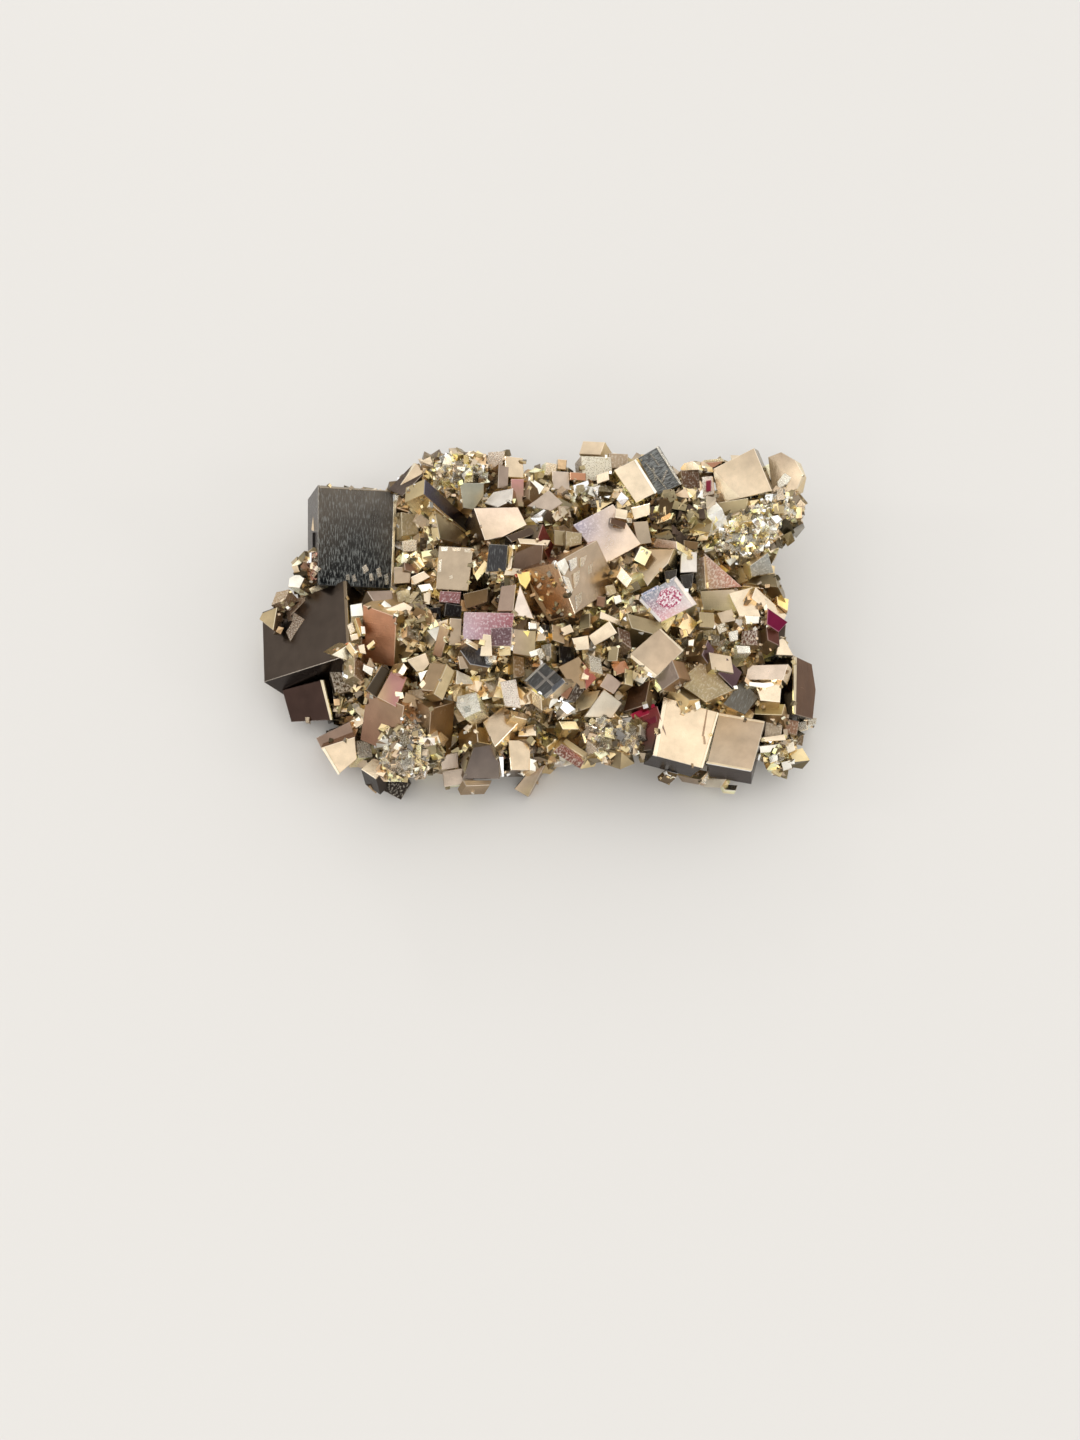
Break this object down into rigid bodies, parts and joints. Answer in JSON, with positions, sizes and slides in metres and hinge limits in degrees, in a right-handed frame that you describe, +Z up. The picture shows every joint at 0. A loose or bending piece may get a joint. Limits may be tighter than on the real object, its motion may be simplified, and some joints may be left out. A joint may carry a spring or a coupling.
{
  "type": "pyrite cluster",
  "caption": "Low mineral cluster of brass-coloured metallic cubes grown through one another, with drusy patches between them and a flat cut base to rest on.",
  "frame": {"origin": "centre of the flat base, at the middle of the overall length and depth", "axes": "+X along the cluster's longest extent, to the right as the showing side is seen; +Y away from the viewer, to the back; +Z up from the flat base"},
  "size_m": [0.0948, 0.0636, 0.0265],
  "materials": {
    "pyrite": "bright pale brassy crystal faces, striated and etched in places, with dark tarnish between the crystals"
  },
  "bodies": {
    "root": {"pyrite_cluster": "pyrite"}
  },
  "joints": []
}
